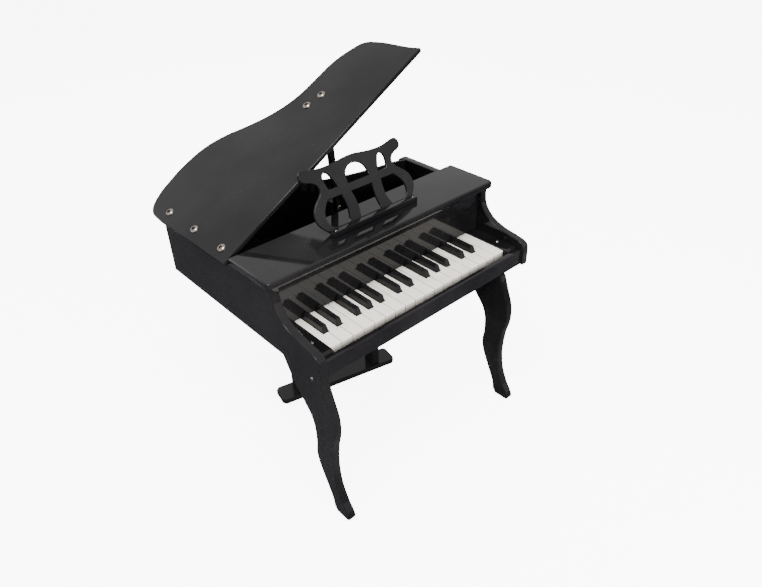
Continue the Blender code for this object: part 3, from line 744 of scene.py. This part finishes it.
@dataclass
class Keyboard:
    """The thirty keys, their pivot rod and the chime bar."""

    shop: Workshop
    cap: float = 0.0026
    lip: float = 0.0006
    joint_line: float = 0.0003

    def build_white_key(self, node: str) -> None:
        """Build a white key as a cap on a slightly set-back body.

        Args:
            node: The CAD node.
        """
        low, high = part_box(node)
        shape = self.shop.clean_shape(node)
        for height in (high.z - self.cap, high.z - self.cap - self.joint_line):
            everything = shape.verts[:] + shape.edges[:] + shape.faces[:]
            bmesh.ops.bisect_plane(
                shape, geom=everything, dist=0.0000002, plane_co=(0, 0, height), plane_no=(0, 0, 1)
            )
        for vert in shape.verts:
            below = vert.co.z < high.z - self.cap - self.joint_line * 0.5
            if below and vert.co.y < low.y + 0.0001:
                vert.co.y += self.lip
        piece = self.shop.finish_piece(shape, node + "_fine", node, Slot.WHITE_KEY)
        self.shop.ease_edges(piece, 0.0005)
        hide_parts(node)

    def build_keys(self) -> None:
        """Build every key."""
        for node in sorted(self.shop.frame["nodes"]):
            if node.startswith("white_key"):
                self.build_white_key(node)
            if node.startswith("black_key"):
                self.shop.refine(node, Slot.BLACK_KEY, 0.0004)

    def build(self) -> None:
        """Build the keyboard and what it plays on."""
        self.build_keys()
        self.shop.refine("key_pivot_rod", Slot.STEEL, 0.0002)
        self.shop.refine("chime_bar", Slot.STEEL, 0.0002)


@dataclass
class Lid:
    """The lid with its hinge, its domed bolts and the plate that the prop bears on."""

    shop: Workshop
    bolts: tuple[str, ...] = (
        "lid_hinge_bolt_1", "lid_hinge_bolt_2", "lid_hinge_bolt_3",
        "prop_plate_bolt_1", "prop_plate_bolt_2",
    )

    def tilt(self) -> Matrix:
        """Return the turn from the closed lid to the open one."""
        return Matrix.Rotation(-math.radians(self.shop.joint("lid_hinge")["range_deg"][1]), 4, "Y")

    def build_bolt(self, node: str) -> None:
        """Stand a finely turned bolt in a CAD bolt's place.

        Args:
            node: The CAD node.
        """
        turn = self.tilt()
        level = turn.inverted()
        points = [level @ vert.co for vert in self.shop.frame["nodes"][node].data.vertices]
        low = Vector([min(point[axis] for point in points) for axis in range(3)])
        high = Vector([max(point[axis] for point in points) for axis in range(3)])
        seat = min(point.z for point in points if point.x > high.x - 0.0001)
        middle = (low + high) / 2
        place = turn @ Matrix.Translation((middle.x, middle.y, seat))
        shape = Fastener(Drive.HEX, high.z - seat).head((high.y - low.y) / 2, place, seat - low.z)
        piece = self.shop.finish_piece(shape, node + "_fine", "lid", Slot.NICKEL, FASTENER_SMOOTH)
        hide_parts(node)

    def build(self) -> None:
        """Build the lid group."""
        self.shop.refine("lid", Slot.LACQUER, 0.0)
        self.shop.refine("prop_plate", Slot.BOARD, 0.0)
        self.shop.refine("lid_hinge_leaf", Slot.STEEL, 0.00015, 32.0)
        self.shop.refine("lid_hinge_fixed_leaf", Slot.STEEL, 0.00015, 32.0)
        for node in self.bolts:
            self.build_bolt(node)


@dataclass
class Prop:
    """The stick that holds the lid, its post and the cap on its pivot pin."""

    shop: Workshop
    cap_radius: float = 0.0058
    cap_dome: float = 0.0026

    def build(self) -> None:
        """Build the prop group."""
        self.shop.refine("lid_prop", Slot.LACQUER, 0.0)
        self.shop.refine("prop_post", Slot.BOARD, 0.0)
        pivot = Vector(self.shop.joint("prop_pivot")["pos_m"])
        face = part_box("lid_prop")[0].y - SEAT_GAP
        turn = Matrix.Rotation(math.radians(90), 4, "X")
        place = Matrix.Translation((pivot.x, face, pivot.z)) @ turn
        shape = Fastener(Drive.HEX, self.cap_dome).head(self.cap_radius, place, 0.0004)
        self.shop.finish_piece(shape, "prop_pin_cap", "case", Slot.NICKEL, FASTENER_SMOOTH)


@dataclass
class Desk:
    """The cut-out music desk and the ledge that holds the sheets."""

    shop: Workshop
    screw_radius: float = 0.0021
    inset: float = 0.010

    def build(self) -> None:
        """Build the desk group."""
        self.shop.refine("music_desk", Slot.LACQUER, 0.0)
        self.shop.refine("music_ledge", Slot.LACQUER, 0.0)
        low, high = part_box("music_ledge")
        middle = (low + high) / 2
        for name, x in (("left", low.x + self.inset), ("right", high.x - self.inset)):
            place = Matrix.Translation((x, middle.y, high.z - 0.0001))
            shape = Fastener(Drive.CROSS, 0.0006, 32).head(self.screw_radius, place, 0.003)
            self.shop.finish_piece(
                shape, f"ledge_screw_{name}", "case", Slot.NICKEL, FASTENER_SMOOTH
            )


@dataclass
class Stand:
    """The rear foot bar and its two posts."""

    shop: Workshop

    def build(self) -> None:
        """Build the stand."""
        for node in ("rear_foot_bar", "rear_post_left", "rear_post_right"):
            self.shop.refine(node, Slot.LACQUER, 0.0)


# ------------------------------------------------------------------ studio
@dataclass
class Studio:
    """Pale floor, soft light and the camera."""

    lens: float = 31.31
    place: tuple[float, float, float] = (-0.6519, -0.8199, 0.9302)
    turn: float = -41.63
    pitch: float = 55.58
    roll: float = -1.4
    floor_reach: float = 14.0
    room_light: float = 1.35
    backdrop_light: float = 8.6
    mirrored_light: tuple[float, float] = (1.0, 1.08)
    mirrored_depth: tuple[float, float] = (-0.4, 0.75)
    aim: tuple[float, float, float] = (0.0, 0.0, 0.35)

    def build_floor(self) -> None:
        """Lay the paper."""
        mesh = bpy.data.meshes.new("studio_floor")
        shape = bmesh.new()
        bmesh.ops.create_grid(shape, x_segments=8, y_segments=8, size=self.floor_reach)
        shape.to_mesh(mesh)
        shape.free()
        floor = bpy.data.objects.new("studio_floor", mesh)
        floor.location.z = -0.0004
        mesh.materials.append(StudioPaper().material())
        bpy.context.scene.collection.objects.link(floor)

    def build_sky(self) -> None:
        """Fill the room with even light; gloss sees a darker room that brightens to the back."""
        world = bpy.data.worlds.new("studio_sky")
        world.use_nodes = True
        tree = world.node_tree
        room = tree.nodes["Background"]
        room.inputs["Color"].default_value = (1.0, 0.985, 0.965, 1.0)
        mirrored = tree.nodes.new("ShaderNodeBackground")
        mirrored.inputs["Color"].default_value = (0.985, 0.985, 1.0, 1.0)
        place = tree.nodes.new("ShaderNodeTexCoord")
        split = tree.nodes.new("ShaderNodeSeparateXYZ")
        tree.links.new(place.outputs["Generated"], split.inputs[0])
        depth = tree.nodes.new("ShaderNodeMapRange")
        tree.links.new(split.outputs["Y"], depth.inputs["Value"])
        for label, value in zip(RANGE_LABELS, (*self.mirrored_depth, *self.mirrored_light)):
            depth.inputs[label].default_value = value
        tree.links.new(depth.outputs["Result"], mirrored.inputs["Strength"])
        rays = tree.nodes.new("ShaderNodeLightPath")
        seen = tree.nodes.new("ShaderNodeMapRange")
        seen.inputs["To Min"].default_value = self.room_light
        seen.inputs["To Max"].default_value = self.backdrop_light
        tree.links.new(rays.outputs["Is Camera Ray"], seen.inputs["Value"])
        tree.links.new(seen.outputs["Result"], room.inputs["Strength"])
        choice = tree.nodes.new("ShaderNodeMixShader")
        tree.links.new(rays.outputs["Is Glossy Ray"], choice.inputs[0])
        tree.links.new(room.outputs[0], choice.inputs[1])
        tree.links.new(mirrored.outputs[0], choice.inputs[2])
        tree.links.new(choice.outputs[0], tree.nodes["World Output"].inputs["Surface"])
        bpy.context.scene.world = world

    def add_softbox(
        self, name: str, place: Sequence[float], size: float, power: float, mirrored: bool
    ) -> None:
        """Hang a soft light that faces the piano.

        Args:
            name: The light's name.
            place: Where it hangs.
            size: Side of its square.
            power: Watts.
            mirrored: Whether gloss shows it.
        """
        lamp = bpy.data.lights.new(name, "AREA")
        lamp.energy = power
        lamp.size = size
        holder = bpy.data.objects.new(name, lamp)
        holder.location = place
        sight = Vector(self.aim) - Vector(place)
        holder.rotation_euler = sight.to_track_quat("-Z", "Y").to_euler()
        holder.visible_glossy = mirrored
        bpy.context.scene.collection.objects.link(holder)

    def build_camera(self) -> None:
        """Stand the camera."""
        lens = bpy.data.cameras.new("studio_camera")
        lens.lens = self.lens
        lens.sensor_width = 36.0
        lens.clip_start = 0.02
        camera = bpy.data.objects.new("studio_camera", lens)
        turn = Matrix.Rotation(math.radians(self.turn), 4, "Z")
        turn = turn @ Matrix.Rotation(math.radians(self.pitch), 4, "X")
        turn = turn @ Matrix.Rotation(math.radians(self.roll), 4, "Z")
        camera.matrix_world = Matrix.Translation(self.place) @ turn
        bpy.context.scene.collection.objects.link(camera)
        bpy.context.scene.camera = camera

    def build(self) -> None:
        """Build the studio."""
        self.build_floor()
        self.build_sky()
        self.add_softbox("overhead_softbox", (-0.7, -0.4, 2.4), size=1.0, power=66.0, mirrored=True)
        self.add_softbox("front_softbox", (-0.3, -2.4, 1.1), size=1.6, power=110.0, mirrored=False)
        self.add_softbox("rear_softbox", (1.0, 2.0, 1.8), size=1.6, power=22.0, mirrored=False)
        self.build_camera()


def main() -> None:
    """Build the piano's pieces in order and report each."""
    logging.basicConfig(level=logging.INFO, format="%(message)s")
    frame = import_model()
    shop = Workshop(frame, Finishes())
    for assembly in (Case(shop), Keyboard(shop), Lid(shop), Prop(shop), Desk(shop), Stand(shop)):
        before = len(shop.made)
        assembly.build()
        for name in shop.made[before:]:
            log.info("%s: %s", type(assembly).__name__, name)
    Studio().build()
    bpy.context.view_layer.update()


if __name__ == "__main__":
    main()
